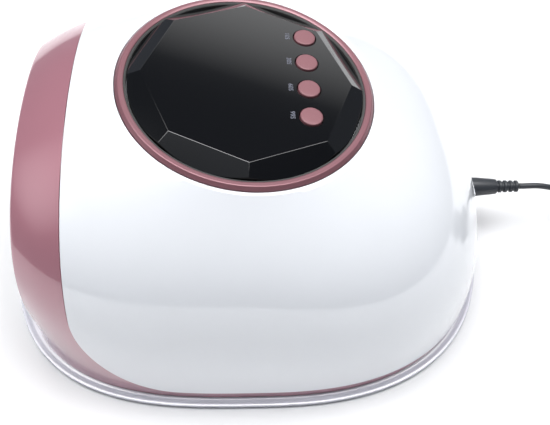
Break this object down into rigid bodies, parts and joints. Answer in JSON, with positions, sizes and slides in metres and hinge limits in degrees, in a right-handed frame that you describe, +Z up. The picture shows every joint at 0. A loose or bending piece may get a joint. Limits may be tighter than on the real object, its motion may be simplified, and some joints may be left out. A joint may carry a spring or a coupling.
{
  "type": "uv led nail lamp",
  "caption": "Domed nail-curing lamp: glossy shell over a rose arch with a hand opening, round touch display with time buttons, lift-off base tray, mains adapter on a lead.",
  "frame": {"origin": "centre of the lamp's footprint, on the surface it stands on", "axes": "+Z up, the hand opening faces -Y, the power inlet is at +Y, +X is the user's right hand side"},
  "size_m": [0.1928, 0.4719, 0.1066],
  "materials": {
    "gloss_white": "polished, injection moulded",
    "rose": "gloss, dusty rose",
    "mirror_lining": "vacuum metallised mirror",
    "black_plastic": "fine grain",
    "rose_metal": "satin metallic plating",
    "black_gloss": "polished, smoked",
    "board_green": "printed circuit laminate",
    "board_white": "white printed circuit laminate",
    "pearl": "pearl gloss",
    "grey_plastic": "moulded, satin",
    "cord_grey": "PVC jacket, satin",
    "wire_black": "PVC jacket",
    "steel": "nickel plated",
    "rubber": "matte"
  },
  "bodies": {
    "base": {"base_tray": "pearl", "rubber_foot_1": "rubber", "rubber_foot_2": "rubber", "rubber_foot_3": "rubber", "rubber_foot_4": "rubber", "tray_magnet_1": "steel", "tray_magnet_2": "steel", "tray_magnet_3": "steel", "tray_magnet_4": "steel", "power_lead": "cord_grey", "power_lead_coil": "cord_grey", "power_lead_tail": "cord_grey", "power_adapter": "black_plastic", "adapter_blade_left": "steel", "adapter_blade_right": "steel"},
    "lamp": {"upper_shell": "gloss_white", "inner_housing": "rose", "reflector_liner": "mirror_lining", "led_board_top": "board_white", "led_board_left": "board_white", "led_board_right": "board_white", "led_board_rear": "board_white", "hand_sensor": "black_plastic", "display_bezel": "rose_metal", "display_lens": "black_gloss", "switch_10s": "grey_plastic", "switch_30s": "grey_plastic", "switch_60s": "grey_plastic", "switch_99s": "grey_plastic", "control_board": "board_green", "timer_display": "black_plastic", "lamp_magnet_1": "steel", "lamp_magnet_2": "steel", "lamp_magnet_3": "steel", "lamp_magnet_4": "steel", "shell_screw_1": "steel", "shell_screw_2": "steel", "shell_screw_3": "steel", "shell_screw_4": "steel", "dc_socket": "black_plastic", "dc_plug": "grey_plastic", "socket_wire": "wire_black"},
    "button_10s_body": {"button_10s": "rose", "switch_plunger_10s": "black_plastic"},
    "button_30s_body": {"button_30s": "rose", "switch_plunger_30s": "black_plastic"},
    "button_60s_body": {"button_60s": "rose", "switch_plunger_60s": "black_plastic"},
    "button_99s_body": {"button_99s": "rose", "switch_plunger_99s": "black_plastic"}
  },
  "joints": [
    {"name": "lamp_lift", "type": "slide", "parent": "base", "child": "lamp", "axis": [0, 0, 1], "range_m": [0, 0.06]},
    {"name": "button_10s_press", "type": "slide", "parent": "lamp", "child": "button_10s_body", "axis": [0, -0.1201, -0.9928], "range_m": [0, 0.0006], "stiffness_N_per_m": 300},
    {"name": "button_30s_press", "type": "slide", "parent": "lamp", "child": "button_30s_body", "axis": [0, -0.1201, -0.9928], "range_m": [0, 0.0006], "stiffness_N_per_m": 300},
    {"name": "button_60s_press", "type": "slide", "parent": "lamp", "child": "button_60s_body", "axis": [0, -0.1201, -0.9928], "range_m": [0, 0.0006], "stiffness_N_per_m": 300},
    {"name": "button_99s_press", "type": "slide", "parent": "lamp", "child": "button_99s_body", "axis": [0, -0.1201, -0.9928], "range_m": [0, 0.0006], "stiffness_N_per_m": 300}
  ]
}
